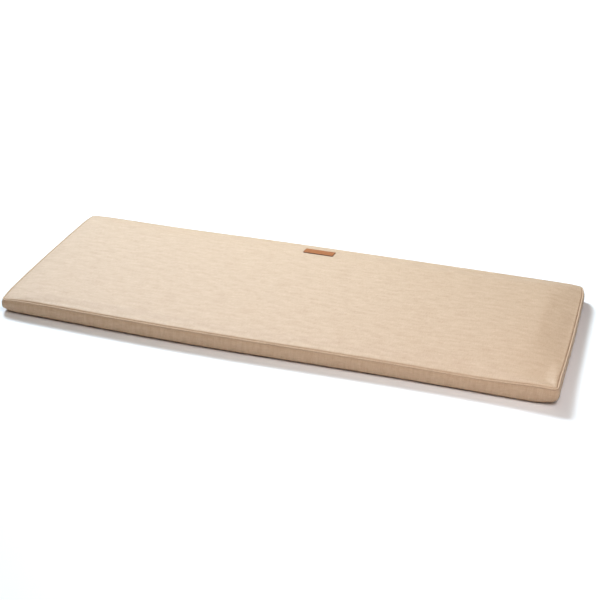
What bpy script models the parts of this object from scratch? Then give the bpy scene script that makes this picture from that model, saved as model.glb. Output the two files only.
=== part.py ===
"""A boxed bench cushion with a crowned top, a side band, piping in its upper seam and a label.

Run it with blender --background --python part.py, or from Blender's text editor.
Metres, +Z up. The cushion lies on z = 0, centred on the origin, its length along X and the
label towards +Y. Each piece is first laid out in its cut shape, square and straight. Then
one rule, settle, moves every piece to where the filling and the sewing pull it.
"""

import math

import bmesh
import bpy
from mathutils import Vector

MM = 0.001

# The top and bottom panels, from seam to seam, where the filled cushion is widest.
PANEL_LENGTH = 1190 * MM
PANEL_WIDTH = 443 * MM
PANEL_CORNER_RADIUS = 5 * MM

# Heights of the two seams: the middle of the piping in the upper one, and the lower one,
# which is plain.
UPPER_SEAM_HEIGHT = 32.2 * MM
LOWER_SEAM_HEIGHT = 3.4 * MM
UPPER_PANEL_RISE = 1.6 * MM  # where the top panel starts, above its seam

# The crown of the top panel: a rolled edge, then a slow swell to the middle.
EDGE_ROLL_HEIGHT = 8.0 * MM
LONG_EDGE_ROLL_WIDTH = 36 * MM
END_ROLL_WIDTH = 55 * MM
MIDDLE_SWELL = 2.0 * MM
BOTTOM_ROLL_WIDTH = 22 * MM

# Piping, band and label.
PIPING_DIAMETER = 3.4 * MM
PIPING_OUT = 2.6 * MM  # middle of the piping, out from the edge of the panel
BAND_OUT = 3.2 * MM  # outer face of the band at the seams, out from the edge of the panel
BAND_THICKNESS = 1.2 * MM
BAND_SWELL = 4.5 * MM  # how far the filling pushes the band out at mid-height
LABEL_LENGTH = 70 * MM
LABEL_WIDTH = 24 * MM
LABEL_THICKNESS = 1.8 * MM
LABEL_CORNER_RADIUS = 2 * MM
LABEL_FROM_BACK_SEAM = 20 * MM

# Free space between neighbouring pieces.
GAP = 0.3 * MM
GROOVE_GAP = 0.6 * MM
BAND_GAP = 0.5 * MM

# How the sewing draws the cushion in: the sides at their ends, and each corner.
LONG_SIDES_DRAWN_IN = 3.5 * MM
ENDS_DRAWN_IN = 3.0 * MM
CORNER_COLUMNS = ("end", "side", "pull", "tuck", "pull_reach", "lift", "lift_reach")
CORNERS = (
    # end and side: which corner, as signs of X and Y. pull: inwards, at all heights.
    # tuck: further inwards at the bottom. lift: upwards at the bottom. Each fades out
    # over its reach.
    (-1, -1, 2.5 * MM, 0.5 * MM, 20 * MM, 4.0 * MM, 13 * MM),
    (1, -1, 0.5 * MM, 4.0 * MM, 28 * MM, 5.0 * MM, 22 * MM),
    (1, 1, 5.5 * MM, 3.0 * MM, 18 * MM, 5.0 * MM, 25 * MM),
    (-1, 1, 4.0 * MM, 3.0 * MM, 20 * MM, 5.0 * MM, 25 * MM),
)

# The front side isn't quite straight: it waves along its length.
FRONT_WAVE = 3.0 * MM
FRONT_WAVE_LENGTH = 900 * MM
FRONT_WAVE_PEAK = -170 * MM

# Where the block of the cushion is cut, as depths from the edge of the panel.
CORNER_CUTS = (PANEL_CORNER_RADIUS / 3, 2 * PANEL_CORNER_RADIUS / 3, PANEL_CORNER_RADIUS)
EDGE_CUTS = (9 * MM, 16 * MM, 26 * MM, 40 * MM, 60 * MM, 90 * MM, 150 * MM)
LONG_CUTS = (240 * MM, 340 * MM, 460 * MM)
LABEL_CUT_SPACING = 6 * MM
BAND_ROWS = 3
PIPING_BEVEL_RESOLUTION = 2

# Finishes, as sRGB hex colours and roughnesses.
CLOTH_COLOUR = "DEC8AC"
CLOTH_ROUGHNESS = 0.9
LEATHER_COLOUR = "BA7845"
LEATHER_ROUGHNESS = 0.55

HALF_LENGTH = PANEL_LENGTH / 2
HALF_WIDTH = PANEL_WIDTH / 2
PIPING_RADIUS = PIPING_DIAMETER / 2
MID_BAND_HEIGHT = (UPPER_SEAM_HEIGHT + LOWER_SEAM_HEIGHT) / 2
HALF_BAND_HEIGHT = (UPPER_SEAM_HEIGHT - LOWER_SEAM_HEIGHT) / 2
SEAM_HOLD = 2 * PIPING_RADIUS  # a seam moves as one, this far above and below it
BODY_OUT = BAND_OUT - BAND_THICKNESS - BAND_GAP  # side of the body, behind the band
HELD_APART = UPPER_SEAM_HEIGHT - LOWER_SEAM_HEIGHT - 2 * SEAM_HOLD
SHARP_ANGLE = math.radians(50)  # edges sharper than this stay sharp in the shading
TINY = 1e-6


def roll(depth, width):
    """Share of the rolled edge's height that is reached at a depth from the edge."""
    left = min(1.0, max(0.0, 1 - depth / width))
    return math.sqrt(1 - left * left)


def crown(x, y):
    """Height of the top panel above its own edge."""
    from_end = HALF_LENGTH - abs(x)
    from_side = HALF_WIDTH - abs(y)
    edge = roll(from_end, END_ROLL_WIDTH) * roll(from_side, LONG_EDGE_ROLL_WIDTH)
    middle = (1 - (x / HALF_LENGTH) ** 2) * (1 - (y / HALF_WIDTH) ** 2)
    return EDGE_ROLL_HEIGHT * edge + MIDDLE_SWELL * middle


def top_height(x, y):
    """Height of the top panel above the floor."""
    return UPPER_SEAM_HEIGHT + UPPER_PANEL_RISE + crown(x, y)


def bottom_height(x, y):
    """Height of the bottom panel above the floor: flat, but for its rolled edge."""
    from_edge = min(HALF_LENGTH - abs(x), HALF_WIDTH - abs(y))
    return LOWER_SEAM_HEIGHT * (1 - roll(from_edge, BOTTOM_ROLL_WIDTH))


def band_swell(height):
    """How far the band stands out at a height between the two seams."""
    off_middle = (height - MID_BAND_HEIGHT) / HALF_BAND_HEIGHT
    return BAND_SWELL * (1 - off_middle * off_middle)


def round_corner(x, y, half_x, half_y, radius, out):
    """Place a point of a square plan in the same plan with round corners.

    A square corner turns into a quarter disc, its cuts into rings and spokes. Points on
    the edge of the plan then move out by the given distance.
    """
    off_x = abs(x) - (half_x - radius)
    off_y = abs(y) - (half_y - radius)
    sign_x = math.copysign(1, x)
    sign_y = math.copysign(1, y)
    if off_x > TINY and off_y > TINY:
        reach = max(off_x, off_y)
        if off_y <= off_x:
            turn = math.pi / 4 * off_y / off_x
        else:
            turn = math.pi / 2 - math.pi / 4 * off_x / off_y
        if reach > radius - TINY:
            reach += out
        new_x = half_x - radius + reach * math.cos(turn)
        new_y = half_y - radius + reach * math.sin(turn)
        return sign_x * new_x, sign_y * new_y
    if abs(x) > half_x - TINY:
        x += sign_x * out
    if abs(y) > half_y - TINY:
        y += sign_y * out
    return x, y


def settle(x, y, z):
    """Move a point of the cut shape to where the filling and the sewing pull it.

    The pull is read at the nearest point of the panel, so that the body, the band and the
    piping move together at the edge.
    """
    near_x = min(HALF_LENGTH, max(-HALF_LENGTH, x))
    near_y = min(HALF_WIDTH, max(-HALF_WIDTH, y))
    along = near_x / HALF_LENGTH
    across = near_y / HALF_WIDTH
    height_share = (UPPER_SEAM_HEIGHT - SEAM_HOLD - z) / HELD_APART
    lowness = min(1.0, max(0.0, height_share)) ** 2
    wave = math.cos(2 * math.pi * (near_x - FRONT_WAVE_PEAK) / FRONT_WAVE_LENGTH)
    frontness = max(0.0, -across) ** 2
    move_x = -along * across ** 2 * ENDS_DRAWN_IN
    move_y = -across * along ** 2 * LONG_SIDES_DRAWN_IN - frontness * wave * FRONT_WAVE
    move_z = 0.0
    for row in CORNERS:
        corner = dict(zip(CORNER_COLUMNS, row))
        off_x = near_x - corner["end"] * HALF_LENGTH
        off_y = near_y - corner["side"] * HALF_WIDTH
        distance = math.hypot(off_x, off_y)
        hold = math.exp(-(distance / corner["pull_reach"]) ** 2)
        inwards = hold * (corner["pull"] + corner["tuck"] * lowness) / math.sqrt(2)
        move_x -= corner["end"] * inwards
        move_y -= corner["side"] * inwards
        move_z += corner["lift"] * lowness * math.exp(-(distance / corner["lift_reach"]) ** 2)
    return Vector((x + move_x, y + move_y, z + move_z))


def material(name, hex_colour, roughness):
    """A plain material of one colour, given as an sRGB hex value."""
    made = bpy.data.materials.new(name)
    made.use_nodes = True
    shader = made.node_tree.nodes["Principled BSDF"]
    parts = [int(hex_colour[i:i + 2], 16) / 255 for i in (0, 2, 4)]
    linear = [((part + 0.055) / 1.055) ** 2.4 for part in parts]
    shader.inputs["Base Color"].default_value = (*linear, 1)
    shader.inputs["Roughness"].default_value = roughness
    shader.inputs["Metallic"].default_value = 0
    made.diffuse_color = (*linear, 1)
    return made


def add_object(name, data, finish):
    """Put a mesh or a curve into the scene under a piece's name."""
    piece = bpy.data.objects.new(name, data)
    data.materials.append(finish)
    bpy.context.scene.collection.objects.link(piece)
    return piece


def mesh_from(bm, name):
    """Turn a bmesh into a smooth-shaded mesh, its faces pointing out.

    Every face is split along its shorter diagonal, so that two walls that lie close
    together are split the same way and stay apart.
    """
    bmesh.ops.recalc_face_normals(bm, faces=bm.faces)
    bmesh.ops.triangulate(bm, faces=bm.faces, quad_method="SHORT_EDGE")
    mesh = bpy.data.meshes.new(name)
    bm.to_mesh(mesh)
    bm.free()
    mesh.shade_smooth()
    mesh.set_sharp_from_angle(angle=SHARP_ANGLE)
    return mesh


def cut_block(half_x, half_y, rows, cuts_x, cuts_y):
    """A block standing on z = 0, one unit high for each row, cut along every given plane."""
    bm = bmesh.new()
    bmesh.ops.create_cube(bm, size=1)
    bmesh.ops.translate(bm, verts=bm.verts, vec=(0, 0, 0.5))
    bmesh.ops.scale(bm, verts=bm.verts, vec=(2 * half_x, 2 * half_y, rows))
    planes = [((x, 0, 0), (1, 0, 0)) for x in cuts_x]
    planes += [((0, y, 0), (0, 1, 0)) for y in cuts_y]
    planes += [((0, 0, row), (0, 0, 1)) for row in range(1, rows)]
    for point, normal in planes:
        everything = bm.verts[:] + bm.edges[:] + bm.faces[:]
        bmesh.ops.bisect_plane(bm, geom=everything, dist=TINY, plane_co=point, plane_no=normal)
    return bm


def cuts_from_edges(half, depths):
    """Places of the cuts on one axis: each depth, measured from both edges."""
    places = {half - depth for depth in depths}
    return sorted(places | {-place for place in places})


PANEL_CUTS_X = cuts_from_edges(HALF_LENGTH, CORNER_CUTS + EDGE_CUTS + LONG_CUTS)
PANEL_CUTS_Y = cuts_from_edges(HALF_WIDTH, CORNER_CUTS + EDGE_CUTS)


def side_section():
    """Rows of the body's side from the bottom panel's edge to the top panel's.

    Each row is a distance out from the edge of the panels and a height. The side follows
    the band, and then runs round the piping in a groove.
    """
    groove = PIPING_RADIUS + GROOVE_GAP
    slant = groove / math.sqrt(2)
    rows = [(BODY_OUT, LOWER_SEAM_HEIGHT)]
    for height in band_heights():
        rows.append((BODY_OUT + band_swell(height), height))
    rows.append((PIPING_OUT - slant, UPPER_SEAM_HEIGHT - slant))
    rows.append((PIPING_OUT - groove, UPPER_SEAM_HEIGHT))
    rows.append((0, UPPER_SEAM_HEIGHT + UPPER_PANEL_RISE))
    return rows


def band_heights():
    """Even heights up the band, from just above the lower seam to just below the upper one."""
    low = LOWER_SEAM_HEIGHT + SEAM_HOLD
    high = UPPER_SEAM_HEIGHT - SEAM_HOLD
    return [low + (high - low) * step / BAND_ROWS for step in range(BAND_ROWS + 1)]


def make_body(finish):
    """The filled cushion: bottom panel, grooved side and crowned top panel in one solid."""
    section = side_section()
    top_row = len(section) - 1
    bm = cut_block(HALF_LENGTH, HALF_WIDTH, top_row, PANEL_CUTS_X, PANEL_CUTS_Y)
    for vert in bm.verts:
        row = round(vert.co.z)
        out, height = section[row]
        if row == top_row:
            height = top_height(vert.co.x, vert.co.y)
        if row == 0:
            height = bottom_height(vert.co.x, vert.co.y)
        x, y = round_corner(vert.co.x, vert.co.y, HALF_LENGTH, HALF_WIDTH, PANEL_CORNER_RADIUS, out)
        vert.co = settle(x, y, height)
    return add_object("cushion_body", mesh_from(bm, "cushion_body"), finish)


def make_band(finish):
    """The side band: a strip round the cushion between the seams.

    Its section runs up the outer face and down the inner face. The open edge that is left
    at the bottom is then closed.
    """
    top_edge = UPPER_SEAM_HEIGHT - PIPING_RADIUS - BAND_GAP
    heights = [LOWER_SEAM_HEIGHT] + band_heights() + [top_edge]
    outer = [(BAND_OUT + band_swell(height), height) for height in heights]
    inner = [(out - BAND_THICKNESS, height) for out, height in reversed(outer)]
    section = outer + inner
    bm = cut_block(HALF_LENGTH, HALF_WIDTH, len(section) - 1, PANEL_CUTS_X, PANEL_CUTS_Y)
    lids = [face for face in bm.faces if abs(face.normal.z) > 0.5]
    bmesh.ops.delete(bm, geom=lids, context="FACES")
    bm.edges.ensure_lookup_table()
    bmesh.ops.bridge_loops(bm, edges=[rim for rim in bm.edges if rim.is_boundary])
    for vert in bm.verts:
        out, height = section[round(vert.co.z)]
        x, y = round_corner(vert.co.x, vert.co.y, HALF_LENGTH, HALF_WIDTH, PANEL_CORNER_RADIUS, out)
        vert.co = settle(x, y, height)
    return add_object("side_band", mesh_from(bm, "side_band"), finish)


def rim_points():
    """Every cut of the block's rim, in order round the cushion, anticlockwise from above."""
    xs = [-HALF_LENGTH] + PANEL_CUTS_X + [HALF_LENGTH]
    ys = [-HALF_WIDTH] + PANEL_CUTS_Y + [HALF_WIDTH]
    front = [(x, -HALF_WIDTH) for x in xs[:-1]]
    right = [(HALF_LENGTH, y) for y in ys[:-1]]
    back = [(x, HALF_WIDTH) for x in reversed(xs[1:])]
    left = [(-HALF_LENGTH, y) for y in reversed(ys[1:])]
    return front + right + back + left


def make_piping(finish):
    """A closed loop of round piping along the upper seam."""
    curve = bpy.data.curves.new("piping", "CURVE")
    curve.dimensions = "3D"
    curve.twist_mode = "Z_UP"
    curve.bevel_depth = PIPING_RADIUS
    curve.bevel_resolution = PIPING_BEVEL_RESOLUTION
    route = []
    for x, y in rim_points():
        x, y = round_corner(x, y, HALF_LENGTH, HALF_WIDTH, PANEL_CORNER_RADIUS, PIPING_OUT)
        route.append(settle(x, y, UPPER_SEAM_HEIGHT))
    spline = curve.splines.new("POLY")
    spline.points.add(len(route) - 1)
    for point, place in zip(spline.points, route):
        point.co = (*place, 1)
    spline.use_cyclic_u = True
    spline.use_smooth = True
    return add_object("piping", curve, finish)


def make_label(finish):
    """The leather label, lying on the crown of the top panel near the back seam."""
    half_x = LABEL_LENGTH / 2
    half_y = LABEL_WIDTH / 2
    middle_y = HALF_WIDTH - LABEL_FROM_BACK_SEAM - half_y
    depths_x = [LABEL_CORNER_RADIUS / 2] + even_depths(LABEL_CORNER_RADIUS, half_x)
    depths_y = [LABEL_CORNER_RADIUS / 2] + even_depths(LABEL_CORNER_RADIUS, half_y)
    cuts_x = cuts_from_edges(half_x, depths_x)
    cuts_y = cuts_from_edges(half_y, depths_y)
    bm = cut_block(half_x, half_y, 1, cuts_x, cuts_y)
    for vert in bm.verts:
        x, y = round_corner(vert.co.x, vert.co.y, half_x, half_y, LABEL_CORNER_RADIUS, 0)
        y += middle_y
        height = top_height(x, y) + GAP + LABEL_THICKNESS * vert.co.z
        vert.co = settle(x, y, height)
    return add_object("leather_label", mesh_from(bm, "leather_label"), finish)


def even_depths(first, last):
    """Depths from first to last, about one label cut apart, both ends included."""
    steps = math.ceil((last - first) / LABEL_CUT_SPACING)
    return [first + (last - first) * step / steps for step in range(steps + 1)]


def main():
    for old in list(bpy.data.objects):
        bpy.data.objects.remove(old, do_unlink=True)
    cloth = material("woven cover cloth", CLOTH_COLOUR, CLOTH_ROUGHNESS)
    leather = material("vegetable-tanned leather", LEATHER_COLOUR, LEATHER_ROUGHNESS)
    make_body(cloth)
    make_band(cloth)
    make_piping(cloth)
    make_label(leather)


main()
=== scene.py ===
# %% [markdown]
# # A bench cushion, from its solids to its cloth
#
# A boxed bench cushion is a slab of filling in a sewn cover. Two panels, top and bottom, are
# joined by a narrow band, and a cord covered in the same cloth, the piping, is sewn into the
# upper seam. A leather label sits near the back edge. The fixed frame holds one plain solid
# for each of these pieces. This script gives each its fine shape and its finish, in the same
# place and at the same size.

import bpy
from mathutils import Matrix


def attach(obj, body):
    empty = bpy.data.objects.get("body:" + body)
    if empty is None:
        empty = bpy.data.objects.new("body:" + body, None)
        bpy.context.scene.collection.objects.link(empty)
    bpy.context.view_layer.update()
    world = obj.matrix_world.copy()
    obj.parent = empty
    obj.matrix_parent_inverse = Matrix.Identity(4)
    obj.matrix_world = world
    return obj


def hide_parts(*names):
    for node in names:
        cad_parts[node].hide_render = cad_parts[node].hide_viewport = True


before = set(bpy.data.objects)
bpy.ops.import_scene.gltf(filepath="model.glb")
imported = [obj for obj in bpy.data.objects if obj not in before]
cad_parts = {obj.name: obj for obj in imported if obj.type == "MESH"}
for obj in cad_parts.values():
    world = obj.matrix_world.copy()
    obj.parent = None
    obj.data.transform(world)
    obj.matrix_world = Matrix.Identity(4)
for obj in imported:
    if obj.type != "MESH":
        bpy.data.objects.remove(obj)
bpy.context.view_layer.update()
print("solids:", ", ".join(sorted(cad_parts)))

# %% [markdown]
# The cover is cut flat and square, and the filling and the sewing then pull it into shape.
# So the pieces are made the same way here: each is laid out from the sizes below, and one
# rule, settle, moves all of them together. The seams stay closed, because a panel, the
# piping and the band are pulled alike where they meet.

# %% Sizes of the cut pieces
import math
import time

import bmesh
import bpy
import numpy as np
from mathutils import Vector, noise
from mathutils.bvhtree import BVHTree

MM = 0.001

# The panels from seam to seam, and the heights of the two seams above the floor.
PANEL_LENGTH = 1190 * MM
PANEL_WIDTH = 445 * MM
PANEL_CORNER_RADIUS = 5 * MM
UPPER_SEAM_HEIGHT = 32.4 * MM
LOWER_SEAM_HEIGHT = 3.4 * MM
UPPER_PANEL_RISE = 2.1 * MM

# The crown: a rolled edge, then a slow swell to the middle.
EDGE_ROLL_HEIGHT = 8.0 * MM
ROLL_POWER = 0.6  # one half would be an ellipse, and more starts less steeply
LONG_EDGE_ROLL_WIDTH = 36 * MM
END_ROLL_WIDTH = 80 * MM
MIDDLE_SWELL = 2.0 * MM
BOTTOM_ROLL_WIDTH = 40 * MM

# The filling is fuller near the right end, most towards the front.
FULLER_HEIGHT = 6.0 * MM
FULLEST_PLACE = (500 * MM, -100 * MM)
FULLER_REACH = (130 * MM, 230 * MM)

# Piping and band. Each "out" is a distance outwards from the edge of the panels.
PIPING_RADIUS = 1.9 * MM
PIPING_OUT = 3.7 * MM
BAND_OUT = 3.2 * MM
BAND_THICKNESS = 1.2 * MM
BAND_SWELL = 5.5 * MM
BAND_UNDERCUT = 1.8 * MM  # how much further in the lower seam lies than the upper one
BAND_GAP = 0.5 * MM

# How the sewing draws the cover in, at its sides and at each corner.
LONG_SIDES_DRAWN_IN = 3.5 * MM
ENDS_DRAWN_IN = 3.0 * MM
CORNER_COLUMNS = ("end", "side", "pull", "tuck", "pull_reach", "lift", "lift_reach")
CORNERS = (
    (-1, -1, 1.0 * MM, 0.5 * MM, 20 * MM, 4.0 * MM, 13 * MM),
    (1, -1, -2.0 * MM, 4.0 * MM, 28 * MM, 5.0 * MM, 22 * MM),
    (1, 1, 5.5 * MM, 3.0 * MM, 18 * MM, 5.0 * MM, 25 * MM),
    (-1, 1, 4.0 * MM, 3.0 * MM, 20 * MM, 5.0 * MM, 25 * MM),
)
FRONT_WAVE = 3.0 * MM
FRONT_WAVE_LENGTH = 900 * MM
FRONT_WAVE_PEAK = -170 * MM

# Places where the filling pushes the upper seam up, or leaves it slack, and how far that
# reaches along the seam.
SEAM_RISE_COLUMNS = ("x", "y", "rise", "reach")
SEAM_RISES = (
    (-50 * MM, -221 * MM, 4.3 * MM, 500 * MM),
    (595 * MM, -221 * MM, 7.8 * MM, 100 * MM),
    (-595 * MM, -221 * MM, -2.5 * MM, 24 * MM),
    (-595 * MM, -221 * MM, -1.2 * MM, 65 * MM),
    (-350 * MM, 221 * MM, -2.2 * MM, 170 * MM),
    (595 * MM, 110 * MM, -1.5 * MM, 110 * MM),
    (0 * MM, 222 * MM, -2.2 * MM, 500 * MM),
)
SEAM_RISE_INWARDS = 16 * MM

# The band is drawn tighter across the short ends, so it swells less there.
END_TIGHTNESS = 0.5

HALF_LENGTH = PANEL_LENGTH / 2
HALF_WIDTH = PANEL_WIDTH / 2
MID_BAND_HEIGHT = (UPPER_SEAM_HEIGHT + LOWER_SEAM_HEIGHT) / 2
HALF_BAND_HEIGHT = (UPPER_SEAM_HEIGHT - LOWER_SEAM_HEIGHT) / 2
SEAM_HOLD = 3.4 * MM  # the cloth beside a seam that the stitches hold
TINY = 1e-6
print("cut panels, mm:", round(PANEL_LENGTH / MM), "x", round(PANEL_WIDTH / MM))

# %% The form of the filled cover


def roll(depth, width):
    """Share of a rolled edge's height that is reached at a depth from the edge."""
    left = min(1.0, max(0.0, 1 - depth / width))
    return (1 - left * left) ** ROLL_POWER


def top_height(x, y):
    """Height of the top panel above the floor."""
    from_end = HALF_LENGTH - abs(x)
    from_side = HALF_WIDTH - abs(y)
    edge = roll(from_end, END_ROLL_WIDTH) * roll(from_side, LONG_EDGE_ROLL_WIDTH)
    middle = (1 - (x / HALF_LENGTH) ** 2) * (1 - (y / HALF_WIDTH) ** 2)
    off_x = (x - FULLEST_PLACE[0]) / FULLER_REACH[0]
    off_y = (y - FULLEST_PLACE[1]) / FULLER_REACH[1]
    full_share = math.exp(-off_x ** 2 - off_y ** 2) * roll(from_end, END_ROLL_WIDTH)
    fuller = FULLER_HEIGHT * full_share * (1 - (y / HALF_WIDTH) ** 2)
    start = UPPER_SEAM_HEIGHT + UPPER_PANEL_RISE
    return start + EDGE_ROLL_HEIGHT * edge + MIDDLE_SWELL * middle + fuller


def bottom_height(x, y):
    """Height of the bottom panel above the floor: flat, but for its rolled edge."""
    from_edge = min(HALF_LENGTH - abs(x), HALF_WIDTH - abs(y))
    return LOWER_SEAM_HEIGHT * max(0.0, 1 - from_edge / BOTTOM_ROLL_WIDTH) ** 2


def band_swell(height):
    """How far the filling pushes the band out at a height between the seams."""
    off_middle = min(1.0, abs(height - MID_BAND_HEIGHT) / HALF_BAND_HEIGHT)
    undercut = BAND_UNDERCUT if height < MID_BAND_HEIGHT else 0.0
    return BAND_SWELL - (BAND_SWELL + undercut) * off_middle ** 4


def seam_rise(x, y):
    """How far the upper seam is pushed up at a place, fading in from the rim."""
    rise = 0.0
    for row in SEAM_RISES:
        spot = dict(zip(SEAM_RISE_COLUMNS, row))
        away = math.hypot(x - spot["x"], y - spot["y"]) / spot["reach"]
        rise += spot["rise"] * math.exp(-away ** 2)
    depth = min(HALF_LENGTH - abs(x), HALF_WIDTH - abs(y))
    return rise * math.exp(-(depth / SEAM_RISE_INWARDS) ** 2)


def swell_share(y):
    """Share of the band's swell at a place on the rim: one along the sides, less at the ends."""
    across = min(1.0, abs(y) / HALF_WIDTH)
    return 1 - END_TIGHTNESS * (1 - across ** 4)


def settle(x, y, z):
    """Move a point of the cut shape to where the filling and the sewing pull it."""
    near_x = min(HALF_LENGTH, max(-HALF_LENGTH, x))
    near_y = min(HALF_WIDTH, max(-HALF_WIDTH, y))
    along = near_x / HALF_LENGTH
    across = near_y / HALF_WIDTH
    held_apart = UPPER_SEAM_HEIGHT - LOWER_SEAM_HEIGHT - 2 * SEAM_HOLD
    height_share = (UPPER_SEAM_HEIGHT - SEAM_HOLD - z) / held_apart
    lowness = min(1.0, max(0.0, height_share)) ** 2
    wave = math.cos(2 * math.pi * (near_x - FRONT_WAVE_PEAK) / FRONT_WAVE_LENGTH)
    frontness = max(0.0, -across) ** 2
    move_x = -along * across ** 2 * ENDS_DRAWN_IN
    move_y = -across * along ** 2 * LONG_SIDES_DRAWN_IN - frontness * wave * FRONT_WAVE
    upness = (z - LOWER_SEAM_HEIGHT) / (UPPER_SEAM_HEIGHT - LOWER_SEAM_HEIGHT)
    move_z = seam_rise(near_x, near_y) * min(1.0, max(0.0, upness))
    for row in CORNERS:
        corner = dict(zip(CORNER_COLUMNS, row))
        off_x = near_x - corner["end"] * HALF_LENGTH
        off_y = near_y - corner["side"] * HALF_WIDTH
        distance = math.hypot(off_x, off_y)
        hold = math.exp(-(distance / corner["pull_reach"]) ** 2)
        inwards = hold * (corner["pull"] + corner["tuck"] * lowness) / math.sqrt(2)
        move_x -= corner["end"] * inwards
        move_y -= corner["side"] * inwards
        move_z += corner["lift"] * lowness * math.exp(-(distance / corner["lift_reach"]) ** 2)
    return Vector((x + move_x, y + move_y, z + move_z))


def round_corner(x, y, half_x, half_y, radius, out):
    """Turn a square plan's corner round, and move the points on its edge outwards."""
    off_x = abs(x) - (half_x - radius)
    off_y = abs(y) - (half_y - radius)
    sign_x = math.copysign(1, x)
    sign_y = math.copysign(1, y)
    if off_x > TINY and off_y > TINY:
        reach = max(off_x, off_y)
        if off_y <= off_x:
            turn = math.pi / 4 * off_y / off_x
        else:
            turn = math.pi / 2 - math.pi / 4 * off_x / off_y
        if reach > radius - TINY:
            reach += out
        new_x = half_x - radius + reach * math.cos(turn)
        new_y = half_y - radius + reach * math.sin(turn)
        return sign_x * new_x, sign_y * new_y
    if abs(x) > half_x - TINY:
        x += sign_x * out
    if abs(y) > half_y - TINY:
        y += sign_y * out
    return x, y


print("height of the crown, mm:", round(top_height(0, 0) / MM, 1))

# %% [markdown]
# Every piece of the cover starts as a flat grid, close at its edges, where the cloth bends
# most, and even between them. Extruded, the grid is a block, and the rows of its sides
# follow a section drawn as distances out and heights. Each corner of each face also keeps its
# place on the flat cloth, in metres, as a UV map, and the weave is drawn on that.

# %% From a flat grid to a block
EDGE_DEPTHS = tuple(depth * MM for depth in (0, 1, 2.5, 4.5, 7, 10, 14, 19, 25))
CLOTH_SPACING = 8.2 * MM


def cuts_across(half, edge_depths, spacing):
    """Places of the cuts across a piece: close at both edges, evenly spaced between."""
    inner = half - edge_depths[-1]
    steps = max(1, round(2 * inner / spacing))
    places = [-inner + 2 * inner * step / steps for step in range(1, steps)]
    for depth in edge_depths:
        places += [depth - half, half - depth]
    return sorted(places)


def cut_block(xs, ys, rows):
    """A block on a grid of cuts, with its sides in rows. Heights are row numbers."""
    bm = bmesh.new()
    bmesh.ops.create_grid(bm, x_segments=len(xs) - 1, y_segments=len(ys) - 1, size=1)
    for vert in bm.verts:
        column = round((vert.co.x + 1) / 2 * (len(xs) - 1))
        line = round((vert.co.y + 1) / 2 * (len(ys) - 1))
        vert.co = (xs[column], ys[line], rows)
    lower = bmesh.ops.extrude_face_region(bm, geom=bm.faces[:], use_keep_orig=True)["geom"]
    for vert in lower:
        if isinstance(vert, bmesh.types.BMVert):
            vert.co.z = 0
    upright = [edge for edge in bm.edges if edge.verts[0].co.z != edge.verts[1].co.z]
    bmesh.ops.subdivide_edges(bm, edges=upright, cuts=rows - 1, use_grid_fill=True)
    bmesh.ops.recalc_face_normals(bm, faces=bm.faces)
    return bm


def distance_round(x, y, half_x, half_y):
    """Distance along the rim of a square plan, anticlockwise from its front left corner."""
    if y <= -half_y + TINY:
        return x + half_x
    if x >= half_x - TINY:
        return 2 * half_x + y + half_y
    if y >= half_y - TINY:
        return 3 * half_x + 2 * half_y - x
    return 4 * half_x + 4 * half_y - (y + half_y)


PERIMETER = 2 * (PANEL_LENGTH + PANEL_WIDTH)
PANEL_XS = cuts_across(HALF_LENGTH, EDGE_DEPTHS, CLOTH_SPACING)
PANEL_YS = cuts_across(HALF_WIDTH, EDGE_DEPTHS, CLOTH_SPACING)
print("cuts along and across the panels:", len(PANEL_XS), len(PANEL_YS))

# %% From a block to an object


def keep_flat_place(bm, flat_place, turned=False):
    """Write each face corner's place on the flat cloth into a UV map, in metres.

    A face that closes the ring has corners at both ends of the flat strip, so its near
    corners are moved on by one perimeter. A turned piece was cut with its yarns crosswise.
    """
    layer = bm.loops.layers.uv.new("flat cloth")
    for face in bm.faces:
        places = [flat_place(loop.vert.co, face) for loop in face.loops]
        far = max(place[0] for place in places)
        for loop, (along, across) in zip(face.loops, places):
            if far - along > PERIMETER / 2:
                along += PERIMETER
            loop[layer].uv = (across, along) if turned else (along, across)


def add_piece(name, bm, finish, levels=1):
    """Put a bmesh into the scene as a smooth piece, finished by one subdivision."""
    mesh = bpy.data.meshes.new(name)
    bm.to_mesh(mesh)
    bm.free()
    mesh.shade_smooth()
    mesh.materials.append(finish)
    piece = bpy.data.objects.new(name, mesh)
    bpy.context.scene.collection.objects.link(piece)
    if levels:
        smooth = piece.modifiers.new("smooth", "SUBSURF")
        smooth.levels = levels
        smooth.render_levels = levels
    return piece


def count_triangles(piece):
    """Triangles of a piece as it is shown."""
    mesh = piece.evaluated_get(bpy.context.evaluated_depsgraph_get()).to_mesh()
    mesh.calc_loop_triangles()
    return len(mesh.loop_triangles)


# %% [markdown]
# The cloth is a linen-look weave of spun polyester yarn. Its yarns are uneven: each has
# thicker stretches, called slubs, which show as short lighter and darker streaks along the
# yarn. Where several such yarns lie side by side, the streak is broader and longer. In the
# panels the filling yarns run along the length. The yarns are 0.8 mm apart on the real cloth,
# under half a pixel here, so the weave is drawn at twice that size, and the streaks carry the
# look from further away.

# %% One function for colours, one for nodes


def linear(hex_colour):
    """An sRGB hex colour as linear red, green, blue and alpha."""
    parts = [int(hex_colour[start:start + 2], 16) / 255 for start in (0, 2, 4)]
    return (*(((part + 0.055) / 1.055) ** 2.4 for part in parts), 1.0)


def add_node(tree, kind, inputs=None, **settings):
    """Add a shader node with its settings, and give its inputs values or links."""
    node = tree.nodes.new(kind)
    for name, value in settings.items():
        setattr(node, name, value)
    for name, value in (inputs or {}).items():
        if isinstance(value, bpy.types.NodeSocket):
            tree.links.new(value, node.inputs[name])
        else:
            node.inputs[name].default_value = value
    return node


def new_material(name):
    """A material, its node tree and its shader."""
    made = bpy.data.materials.new(name)
    made.use_nodes = True
    return made, made.node_tree, made.node_tree.nodes["Principled BSDF"]


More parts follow.
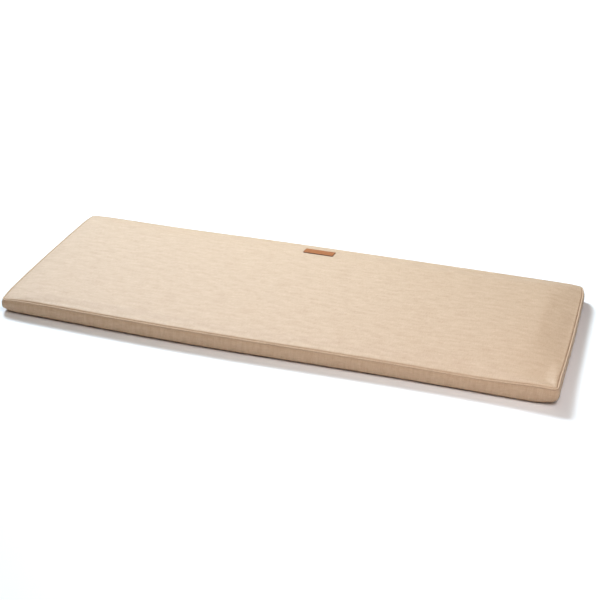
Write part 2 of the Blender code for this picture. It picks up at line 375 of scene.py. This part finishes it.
# %% The woven cloth
YARN_SPACING = 1.6 * MM  # twice the real 0.8 mm, so that the weave can show
SLUB_LENGTH = 14 * MM
GROUP_LENGTH = 36 * MM  # several thick or dark yarns lie together
GROUP_WIDTH = 9 * MM
CLOTH_DARK = "AF8D6F"
CLOTH_LIGHT = "CEB193"
YARN_RELIEF = 0.2 * MM


def streaks(tree, place, length, width, offset):
    """Noise drawn out along the first axis into streaks of a length and width."""
    drawn = add_node(tree, "ShaderNodeMapping", {
        "Vector": place, "Location": (offset, offset, 0), "Scale": (1 / length, 1 / width, 1)})
    made = add_node(tree, "ShaderNodeTexNoise", {
        "Vector": drawn.outputs[0], "Scale": 1, "Detail": 2, "Roughness": 0.6},
        noise_dimensions="2D")
    return made.outputs["Fac"]


def woven_cloth():
    """Spun polyester in a plain weave: matt, with a faint broad gloss and uneven yarns."""
    # Short fibres scatter the light, so the cloth has no clear highlight, and what the eye sees is
    # the uneven colour of its yarns, with painted shade in the gaps between them.
    made, tree, shader = new_material("linen-look woven polyester")
    place = add_node(tree, "ShaderNodeUVMap", uv_map="flat cloth").outputs[0]
    filling = streaks(tree, place, SLUB_LENGTH, YARN_SPACING, 3.7)
    turned = add_node(tree, "ShaderNodeMapping", {
        "Vector": place, "Rotation": (0, 0, math.pi / 2)}).outputs[0]
    warp = streaks(tree, turned, SLUB_LENGTH, YARN_SPACING, 8.1)
    grouped = streaks(tree, place, GROUP_LENGTH, GROUP_WIDTH, 1.3)

    # Over and under: a sine across each set of yarns, and their product is the weave.
    scaled = add_node(tree, "ShaderNodeVectorMath", {
        0: place, "Scale": math.pi / YARN_SPACING}, operation="SCALE").outputs[0]
    split = add_node(tree, "ShaderNodeSeparateXYZ", {0: scaled})
    wave_x = add_node(tree, "ShaderNodeMath", {0: split.outputs[0]}, operation="SINE").outputs[0]
    wave_y = add_node(tree, "ShaderNodeMath", {0: split.outputs[1]}, operation="SINE").outputs[0]
    over = add_node(tree, "ShaderNodeMath", {0: wave_x, 1: wave_y}, operation="MULTIPLY").outputs[0]
    yarn_crowns_and_gap_shade = add_node(tree, "ShaderNodeMath", {0: over}, operation="ABSOLUTE").outputs[0]

    # The crowns of the yarns come out lighter and the gaps between them darker: painted shade of
    # the weave's relief, which the bump also draws.
    # Shares of each pattern in the colour, added up around one half.
    shade = 0.5
    for pattern, share, middle in (
            (filling, 0.6, 0.5), (warp, 0.6, 0.5), (grouped, 0.6, 0.5),
            (yarn_crowns_and_gap_shade, 0.25, 0.4), (over, 0.1, 0.0)):
        centred = add_node(tree, "ShaderNodeMath", {
            0: pattern, 1: middle}, operation="SUBTRACT").outputs[0]
        shade = add_node(tree, "ShaderNodeMath", {
            0: centred, 1: share, 2: shade}, operation="MULTIPLY_ADD").outputs[0]
    colour = add_node(tree, "ShaderNodeMix", {
        "Factor": shade, "A": linear(CLOTH_DARK), "B": linear(CLOTH_LIGHT)}, data_type="RGBA")

    thick = add_node(tree, "ShaderNodeMath", {
        0: filling, 1: 0.8, 2: yarn_crowns_and_gap_shade}, operation="MULTIPLY_ADD").outputs[0]
    bump = add_node(tree, "ShaderNodeBump", {
        "Strength": 0.6, "Distance": YARN_RELIEF, "Height": thick})
    tree.links.new(colour.outputs[2], shader.inputs["Base Color"])
    tree.links.new(bump.outputs[0], shader.inputs["Normal"])
    shader.inputs["Roughness"].default_value = 0.6
    shader.inputs["IOR"].default_value = 1.5
    shader.inputs["Specular IOR Level"].default_value = 0.5
    return made


cloth = woven_cloth()
print("cloth:", len(cloth.node_tree.nodes), "nodes")

# %% [markdown]
# The filled cover is one closed form. Its side is hidden behind the band, and runs round the
# piping in a groove, so that the top panel ends in a dark crease, as a sewn edge does.

# %% The section of the filled cover's side
TUCK = 1.0 * MM  # how far a cloth edge turns in at the plain lower seam
SIDE_ROWS = 4
GROOVE = PIPING_RADIUS + 0.15 * MM  # its radius, with a little room round the piping
GROOVE_ANGLES = (225, 190, 160)  # round the piping, in degrees from straight out
PANEL_EDGE_OUT = 0.7 * MM
SWELLING_ROWS = range(3 + SIDE_ROWS)  # all those behind the band


def even_heights(low, high, rows):
    """Even heights from low to high, both included."""
    return [low + (high - low) * row / rows for row in range(rows + 1)]


def cover_section():
    """Rows of the side, from the bottom panel's edge up to the top panel's edge."""
    behind_band = BAND_OUT - BAND_THICKNESS - BAND_GAP
    rows = [(behind_band, LOWER_SEAM_HEIGHT), (behind_band - TUCK, LOWER_SEAM_HEIGHT + TUCK)]
    low = LOWER_SEAM_HEIGHT + SEAM_HOLD
    for height in even_heights(low, UPPER_SEAM_HEIGHT - SEAM_HOLD, SIDE_ROWS):
        rows.append((behind_band, height))
    for angle in GROOVE_ANGLES:
        turn = math.radians(angle)
        rows.append((PIPING_OUT + GROOVE * math.cos(turn),
                     UPPER_SEAM_HEIGHT + GROOVE * math.sin(turn)))
    rows.append((PANEL_EDGE_OUT, UPPER_SEAM_HEIGHT + UPPER_PANEL_RISE))
    return rows


COVER_SECTION = cover_section()
print("rows of the cover's side:", len(COVER_SECTION))

# %% The cover before it is filled
SWELL = 2.5 * MM  # how far the filling pushes the top panel up
SWELL_FROM_EDGE = 26 * MM
PUCKER_LENGTH = 21 * MM
PUCKER_DEPTH = 0.5 * MM


def edge_share(x, y):
    """Nothing at the edge of a panel, one from a little way in."""
    from_edge = min(HALF_LENGTH - abs(x), HALF_WIDTH - abs(y))
    share = min(1.0, max(0.0, from_edge / SWELL_FROM_EDGE))
    return share * (2 - share)


def pucker(x, y):
    """How far the thread of the seam draws the cloth down at a place on the rim."""
    along = distance_round(x, y, HALF_LENGTH, HALF_WIDTH)
    return PUCKER_DEPTH * noise.noise(Vector((along / PUCKER_LENGTH, 0, 0)))


def cover_place(spot):
    """Where a point of the block goes on the unfilled cover."""
    top_row = len(COVER_SECTION) - 1
    row = round(spot.z)
    out, height = COVER_SECTION[row]
    if row in SWELLING_ROWS:
        out += band_swell(height) * swell_share(spot.y)
    if row == top_row:
        height = top_height(spot.x, spot.y) - SWELL * edge_share(spot.x, spot.y)
        if edge_share(spot.x, spot.y) == 0:
            height += pucker(spot.x, spot.y)
    if row == 0:
        height = bottom_height(spot.x, spot.y)
    x, y = round_corner(spot.x, spot.y, HALF_LENGTH, HALF_WIDTH, PANEL_CORNER_RADIUS, out)
    return settle(x, y, height)


def make_cover():
    """The closed cover, with the points that the seams hold in a vertex group."""
    bm = cut_block(PANEL_XS, PANEL_YS, len(COVER_SECTION) - 1)
    top_row = len(COVER_SECTION) - 1
    keep_flat_place(bm, lambda spot, face: (spot.x, spot.y) if abs(face.normal.z) > 0.5
                    else (distance_round(spot.x, spot.y, HALF_LENGTH, HALF_WIDTH), spot.z * MM))
    bm.verts.ensure_lookup_table()
    held = [vert.index for vert in bm.verts
            if vert.co.z < top_row or edge_share(vert.co.x, vert.co.y) == 0]
    plan = [(vert.co.x, vert.co.y) for vert in bm.verts]
    for vert in bm.verts:
        vert.co = cover_place(vert.co)
    cover = add_piece("filled_cover", bm, cloth, levels=0)
    cover.vertex_groups.new(name="held by seams").add(held, 1.0, "REPLACE")
    return cover, plan


cover, cover_plan = make_cover()
print("points of the cover:", len(cover.data.vertices))

# %% [markdown]
# The filling is a pressure inside the cover: the seams hold, and the cloth between them
# swells, most where it is free to. A firm slab stops the cloth soon, so each point may move
# only so far, a little more where the filling is full and a little less where it is slack.

# %% Fill the cover
PRESSURE = 4
STEPS_PER_FRAME = 6
LAST_FRAME = 20
LUMP_SIZE = 110 * MM
LUMP_SHARE = 0.12


def points_of(mesh):
    """A mesh's points as rows of numbers."""
    found = np.zeros(len(mesh.vertices) * 3, np.float32)
    mesh.vertices.foreach_get("co", found)
    return found.reshape(-1, 3)


def fill(piece, limits):
    """Swell a piece with cloth simulation, no point further than its limit."""
    before = points_of(piece.data)
    filling = piece.modifiers.new("filling", "CLOTH")
    filling.settings.quality = STEPS_PER_FRAME
    filling.settings.use_pressure = True
    filling.settings.uniform_pressure_force = PRESSURE
    filling.settings.effector_weights.gravity = 0
    filling.settings.vertex_group_mass = "held by seams"
    filling.point_cache.frame_start = 1
    filling.point_cache.frame_end = LAST_FRAME
    scene = bpy.context.scene
    for step in range(1, LAST_FRAME + 1):
        scene.frame_set(step)
    swollen = piece.evaluated_get(bpy.context.evaluated_depsgraph_get())
    moved = points_of(swollen.data) - before
    piece.modifiers.remove(filling)
    scene.frame_set(1)
    far = np.linalg.norm(moved, axis=1)
    print("free swell, mm: most", round(float(far.max()) / MM, 1),
          "middle", round(float(np.median(far[limits > 0])) / MM, 1))
    share = np.minimum(1, limits / np.maximum(far, TINY))
    return before + moved * share[:, None]


def swell_limit(x, y, is_top):
    """How far a point of the top panel may move."""
    if not is_top:
        return 0.0
    lump = noise.noise(Vector((x / LUMP_SIZE, y / LUMP_SIZE, 0.5)))
    return SWELL * edge_share(x, y) * (1 + LUMP_SHARE * lump)


start = time.time()
heights = points_of(cover.data)[:, 2]
limits = np.array([swell_limit(x, y, height > UPPER_SEAM_HEIGHT)
                   for (x, y), height in zip(cover_plan, heights)])
filled = fill(cover, limits)
cover.data.vertices.foreach_set("co", filled.astype(np.float32).ravel())
cover.data.update()
smooth = cover.modifiers.new("smooth", "SUBSURF")
smooth.levels = 1
smooth.render_levels = 1
print("filled in", round(time.time() - start, 1), "s;", count_triangles(cover), "triangles")

# %% [markdown]
# The band is one strip of the same cloth, sewn round between the panels. It was cut across
# the width of the cloth, so its uneven yarns stand upright. Its upper edge turns in under the
# piping and its lower edge turns in to the plain lower seam.

# %% The band
BAND_ROWS = 10
BAND_PUCKER = 0.35 * MM
RIPPLE_HEIGHT = 40 * MM
RIPPLE_AT_MIDDLE = 0.35  # share of the ripples' depth at mid-height
BAND_EDGE_DEPTH = 2.4 * MM
BAND_EDGE_ANGLES = (-22, -45, -70)  # round the piping, in degrees from straight out
LOWER_EDGE_IN = 0.7 * MM
LOWER_EDGE_DOWN = 0.5 * MM


def band_section():
    """The band from its lower edge up its outer face, round its upper edge and down again.

    The upper edge lies close under the piping, so that no gap shows there.
    """
    edge_start = UPPER_SEAM_HEIGHT - BAND_EDGE_DEPTH
    outer = [(BAND_OUT - LOWER_EDGE_IN, LOWER_SEAM_HEIGHT - LOWER_EDGE_DOWN)]
    for height in even_heights(LOWER_SEAM_HEIGHT, edge_start, BAND_ROWS):
        outer.append((BAND_OUT, height))
    inner = [(out - BAND_THICKNESS, height) for out, height in reversed(outer)]
    cradle = []
    for angle in BAND_EDGE_ANGLES:
        turn = math.radians(angle)
        cradle.append((PIPING_OUT + GROOVE * math.cos(turn),
                       UPPER_SEAM_HEIGHT + GROOVE * math.sin(turn)))
    return outer, cradle, inner


def band_pucker(along, height):
    """Soft upright ripples that both seams draw into the band, least at mid-height."""
    off_middle = min(1.0, abs(height - MID_BAND_HEIGHT) / HALF_BAND_HEIGHT)
    ripple = noise.noise(Vector((along / PUCKER_LENGTH, height / RIPPLE_HEIGHT, 3)))
    return BAND_PUCKER * ripple * (RIPPLE_AT_MIDDLE + (1 - RIPPLE_AT_MIDDLE) * off_middle)


def make_band():
    """A closed strip with a wall of the cloth's thickness."""
    outer, cradle, inner = band_section()
    section = outer + cradle + inner
    edge_rows = range(len(outer), len(outer) + len(cradle))
    bm = cut_block(PANEL_XS, PANEL_YS, len(section) - 1)
    lids = [face for face in bm.faces if abs(face.normal.z) > 0.5]
    bmesh.ops.delete(bm, geom=lids, context="FACES")
    bmesh.ops.bridge_loops(bm, edges=[edge for edge in bm.edges if edge.is_boundary])
    keep_flat_place(bm, lambda spot, face: (
        distance_round(spot.x, spot.y, HALF_LENGTH, HALF_WIDTH),
        section[round(spot.z)][1]), turned=True)
    for vert in bm.verts:
        row = round(vert.co.z)
        out, height = section[row]
        along = distance_round(vert.co.x, vert.co.y, HALF_LENGTH, HALF_WIDTH)
        if row not in edge_rows:
            out += band_swell(height) * swell_share(vert.co.y) + band_pucker(along, height)
        x, y = round_corner(vert.co.x, vert.co.y, HALF_LENGTH, HALF_WIDTH, PANEL_CORNER_RADIUS, out)
        vert.co = settle(x, y, height)
    bmesh.ops.recalc_face_normals(bm, faces=bm.faces)
    return add_piece("band_strip", bm, cloth)


band = make_band()
outer_face = [(out + band_swell(height), height) for out, height in band_section()[0]]
outer_face += band_section()[1]
BAND_FLAT_WIDTH = sum(math.dist(a, b) for a, b in zip(outer_face, outer_face[1:]))
print("band:", count_triangles(band), "triangles, flat width mm", round(BAND_FLAT_WIDTH / MM, 1))

# %% [markdown]
# The piping is a thin cord in a strip of the cloth that was cut on the bias, at 45 degrees,
# so that it bends round the corners without folds. Its weave runs diagonally round the cord.

# %% The piping
PIPING_SIDES = 12
CORD_UNEVENNESS = 0.04  # share of its radius by which the cord varies
CORD_UNEVEN_LENGTH = 9 * MM
SAME_PLACE = 0.01 * MM
# One subdivision draws a ring of this many sides in by a known share, which is made up for.
SUBDIVISION_SHRINK = (4 + 2 * math.cos(2 * math.pi / PIPING_SIDES)) / 6


def rim_places():
    """Every place of the rim in order round the cushion, anticlockwise from above."""
    front = [(x, -HALF_WIDTH) for x in PANEL_XS[:-1]]
    right = [(HALF_LENGTH, y) for y in PANEL_YS[:-1]]
    back = [(x, HALF_WIDTH) for x in reversed(PANEL_XS[1:])]
    left = [(-HALF_LENGTH, y) for y in reversed(PANEL_YS[1:])]
    return front + right + back + left


def make_piping():
    """A grid whose columns go round the cushion and whose rows go round the cord."""
    rim = rim_places()
    centres = []
    for x, y in rim:
        x, y = round_corner(x, y, HALF_LENGTH, HALF_WIDTH, PANEL_CORNER_RADIUS, PIPING_OUT)
        centres.append(settle(x, y, UPPER_SEAM_HEIGHT))
    bm = bmesh.new()
    bmesh.ops.create_grid(bm, x_segments=len(rim), y_segments=PIPING_SIDES, size=1)
    for vert in bm.verts:
        column = round((vert.co.x + 1) / 2 * len(rim))
        side = round((vert.co.y + 1) / 2 * PIPING_SIDES)
        vert.co = (column, side, 0)
    layer = bm.loops.layers.uv.new("flat cloth")
    distances = [distance_round(x, y, HALF_LENGTH, HALF_WIDTH) for x, y in rim] + [PERIMETER]
    girth = 2 * math.pi * PIPING_RADIUS
    for face in bm.faces:
        for loop in face.loops:
            along = distances[round(loop.vert.co.x)]
            around = girth * loop.vert.co.y / PIPING_SIDES
            loop[layer].uv = ((along + around) / math.sqrt(2), (along - around) / math.sqrt(2))
    for vert in bm.verts:
        column = round(vert.co.x)
        middle = centres[column % len(rim)]
        ahead = centres[(column + 1) % len(rim)] - centres[column - 1]
        outwards = Vector((ahead.y, -ahead.x, 0)).normalized()
        turn = 2 * math.pi * vert.co.y / PIPING_SIDES
        along = distances[column % len(rim)] / CORD_UNEVEN_LENGTH
        fullness = 1 + CORD_UNEVENNESS * noise.noise(Vector((along, 0, 7)))
        radius = PIPING_RADIUS / SUBDIVISION_SHRINK * fullness
        vert.co = middle + radius * (math.cos(turn) * outwards + math.sin(turn) * Vector((0, 0, 1)))
    bmesh.ops.remove_doubles(bm, verts=bm.verts, dist=SAME_PLACE)
    bmesh.ops.recalc_face_normals(bm, faces=bm.faces)
    return add_piece("seam_piping", bm, cloth)


piping = make_piping()
print("piping:", count_triangles(piping), "triangles")

# %% [markdown]
# The label is vegetable-tanned leather. It was punched from a hide, so its edges are crisp at
# the top, a little rounded, and darker where they were burnished. It lies on the filled cover
# and follows it, so its height is read off the cover.

# %% The leather
LEATHER_COLOUR = "A5602A"
LEATHER_DARK = "613618"
GRAIN_SIZE = 1.1 * MM
GRAIN_DEPTH = 0.15 * MM
CLOUD_SIZE = 9 * MM  # the patches in which the hide took up the tan unevenly


def tanned_leather():
    """Vegetable-tanned leather: satin, a fine grain, cloudy in tone and darker at the edges."""
    # Its waxed grain side gives a soft highlight, broken up by the grain.
    made, tree, shader = new_material("vegetable-tanned leather")
    place = add_node(tree, "ShaderNodeTexCoord").outputs["Object"]
    edge = add_node(tree, "ShaderNodeAttribute", attribute_name="burnish").outputs["Fac"]
    grain = add_node(tree, "ShaderNodeTexVoronoi", {
        "Vector": place, "Scale": 1 / GRAIN_SIZE}, feature="DISTANCE_TO_EDGE").outputs["Distance"]
    cloudy = add_node(tree, "ShaderNodeTexNoise", {
        "Vector": place, "Scale": 1 / CLOUD_SIZE, "Detail": 4}).outputs["Fac"]
    tone = add_node(tree, "ShaderNodeMath", {
        0: cloudy, 1: 0.7, 2: -0.15}, operation="MULTIPLY_ADD").outputs[0]
    darker = add_node(tree, "ShaderNodeMath", {0: tone, 1: edge}, operation="ADD", use_clamp=True)
    colour = add_node(tree, "ShaderNodeMix", {
        "Factor": darker.outputs[0], "A": linear(LEATHER_COLOUR), "B": linear(LEATHER_DARK)},
        data_type="RGBA")
    bump = add_node(tree, "ShaderNodeBump", {
        "Strength": 0.5, "Distance": GRAIN_DEPTH, "Height": grain})
    tree.links.new(colour.outputs[2], shader.inputs["Base Color"])
    tree.links.new(bump.outputs[0], shader.inputs["Normal"])
    shader.inputs["Roughness"].default_value = 0.55
    shader.inputs["Specular IOR Level"].default_value = 0.3
    return made


leather = tanned_leather()
print("leather:", len(leather.node_tree.nodes), "nodes")

# %% The label
LABEL_LENGTH = 71 * MM
LABEL_WIDTH = 27 * MM
LABEL_CORNER_RADIUS = 2 * MM
LABEL_FROM_BACK_SEAM = 26 * MM
LABEL_MIDDLE_X = -1.5 * MM
LABEL_GAP = 0.15 * MM
LABEL_DEPTHS = tuple(depth * MM for depth in (0, 0.5, 1.2, 2))
LABEL_SPACING = 2 * MM
# Rows of its cut edge from below, as millimetres out and up.
LABEL_SECTION = ((-0.2, 0.0), (0.0, 0.25), (0.0, 1.0), (-0.15, 1.35), (-0.5, 1.5))
BURNISHED = 2.5 * MM
BURNISH_SHARE = 0.8
ABOVE_ALL = 1.0  # a height in metres from which the cover is looked down on


def cover_surface(piece):
    """The shown surface of a piece, ready to be looked down on."""
    return BVHTree.FromObject(piece, bpy.context.evaluated_depsgraph_get())


def make_label(surface):
    """A patch with a rounded edge, laid on the cover near the back seam."""
    half_x = LABEL_LENGTH / 2
    half_y = LABEL_WIDTH / 2
    middle_y = HALF_WIDTH - LABEL_FROM_BACK_SEAM - half_y
    xs = cuts_across(half_x, LABEL_DEPTHS, LABEL_SPACING)
    ys = cuts_across(half_y, LABEL_DEPTHS, LABEL_SPACING)
    bm = cut_block(xs, ys, len(LABEL_SECTION) - 1)
    burnish = bm.verts.layers.float.new("burnish")
    for vert in bm.verts:
        row = round(vert.co.z)
        from_edge = min(half_x - abs(vert.co.x), half_y - abs(vert.co.y))
        vert[burnish] = max(0.0, 1 - from_edge / BURNISHED) ** 2 * BURNISH_SHARE
        out, height = (part * MM for part in LABEL_SECTION[row])
        x, y = round_corner(vert.co.x, vert.co.y, half_x, half_y, LABEL_CORNER_RADIUS, out)
        place = settle(x + LABEL_MIDDLE_X, y + middle_y, UPPER_SEAM_HEIGHT)
        under = surface.ray_cast(Vector((place.x, place.y, ABOVE_ALL)), Vector((0, 0, -1)))[0]
        vert.co = (place.x, place.y, under.z + LABEL_GAP + height)
    return add_piece("label_patch", bm, leather)


label = make_label(cover_surface(cover))
print("label:", count_triangles(label), "triangles")

# %% [markdown]
# Every piece rides on the one body that the frame has, and stands for the solid it was made from,
# which is hidden.

for piece, node, slot in (
        (cover, "cushion_body", "cover_cloth"),
        (band, "side_band", "cover_cloth"),
        (piping, "piping", "cover_cloth"),
        (label, "leather_label", "label_leather")):
    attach(piece, "root")
    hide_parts(node)

# %% [markdown]
# The floor is matt white card. A wide key light stands behind and to the left, low enough to
# draw a soft shadow in front and on the right. A fill light in front on the right lifts the
# near side and softens that shadow. A small light above the space behind the cushion and a
# faint one overhead even out what is left. None of them reaches the far floor, so that glows
# white by itself, as the lit sweep of a studio does, and meets the backdrop without a horizon.

# %% The floor
FLOOR_SIZE = 60
FLOOR_COLOUR = "F2F0EE"
GLOW_START = 1.1  # distance from the cushion's middle in metres, well outside its shadow
GLOW_FULL = 2.0


def make_floor():
    """A wide white floor, which isn't part of the cushion."""
    # Uncoated card is dull, so it shows the soft shadow and mirrors nothing.
    made, tree, shader = new_material("matt white card")
    place = add_node(tree, "ShaderNodeTexCoord").outputs["Object"]
    away = add_node(tree, "ShaderNodeVectorMath", {0: place}, operation="LENGTH").outputs["Value"]
    glow = add_node(tree, "ShaderNodeMapRange", {
        "Value": away, "From Min": GLOW_START, "From Max": GLOW_FULL},
        interpolation_type="SMOOTHSTEP").outputs["Result"]
    tree.links.new(glow, shader.inputs["Emission Strength"])
    shader.inputs["Emission Color"].default_value = (1, 1, 1, 1)
    shader.inputs["Base Color"].default_value = linear(FLOOR_COLOUR)
    shader.inputs["Roughness"].default_value = 0.9
    bm = bmesh.new()
    bmesh.ops.create_grid(bm, x_segments=1, y_segments=1, size=FLOOR_SIZE / 2)
    floor = add_piece("floor", bm, made, levels=0)


make_floor()
print("floor, m across:", FLOOR_SIZE)

# %% Light
KEY_PLACE = 5.0 * Vector((-0.522, 0.494, 0.696))  # five metres off in that direction
FILL_PLACE = Vector((0.85, -1.05, 1.45))
BACK_PLACE = Vector((-0.2, 0.8, 1.2))
OVERHEAD_PLACE = Vector((-0.1, -0.2, 1.3))


def add_light(name, place, aim, size, power, colour):
    """A square soft light that faces a point, with its size in metres and power in watts."""
    light = bpy.data.lights.new(name, "AREA")
    light.shape = "SQUARE"
    light.size = size
    light.energy = power
    light.color = colour
    lamp = bpy.data.objects.new(name, light)
    lamp.location = place
    lamp.rotation_euler = (place - aim).to_track_quat("Z", "Y").to_euler()
    bpy.context.scene.collection.objects.link(lamp)


def add_backdrop():
    """White where the camera sees past the floor, and no light from it."""
    world = bpy.data.worlds.new("studio")
    world.use_nodes = True
    tree = world.node_tree
    tree.nodes.clear()
    seen = add_node(tree, "ShaderNodeLightPath").outputs["Is Camera Ray"]
    white = add_node(tree, "ShaderNodeBackground", {"Color": (1, 1, 1, 1), "Strength": seen})
    add_node(tree, "ShaderNodeOutputWorld", {"Surface": white.outputs[0]})
    bpy.context.scene.world = world


middle = Vector((0, 0, 0))
add_light("key", KEY_PLACE, middle, size=1.35, power=310, colour=(0.73, 0.865, 1.0))
add_light("fill", FILL_PLACE, middle, size=0.9, power=22.6, colour=(1.0, 0.95, 0.965))
add_light("back", BACK_PLACE, Vector((-0.2, 0.8, 0)),
          size=0.35, power=13, colour=(0.75, 0.92, 1.0))
add_light("overhead", OVERHEAD_PLACE, Vector((-0.1, -0.2, 0)),
          size=0.6, power=2, colour=(0.95, 1.0, 0.8))
add_backdrop()
bpy.context.scene.view_settings.view_transform = "Standard"
print("lights:", ", ".join(sorted(light.name for light in bpy.data.lights)))

# %% [markdown]
# The camera stands a little to the right of the cushion's middle, turned to the left, and
# looks down on it through a long lens.

# %% Camera
CAMERA_PLACE = (0.74773, -2.27965, 1.34797)
CAMERA_DOWN = math.radians(29.061)
CAMERA_LEFT = math.radians(17.919)
SENSOR_WIDTH = 36  # in millimetres, as the focal length is
LENS = 75.48

view = bpy.data.cameras.new("camera")
view.sensor_width = SENSOR_WIDTH
view.lens = LENS
camera = bpy.data.objects.new("camera", view)
camera.location = CAMERA_PLACE
camera.rotation_euler = (math.pi / 2 - CAMERA_DOWN, 0, CAMERA_LEFT)
bpy.context.scene.collection.objects.link(camera)
bpy.context.scene.camera = camera
print("camera, m from the cushion's middle:", round(camera.location.length, 2))
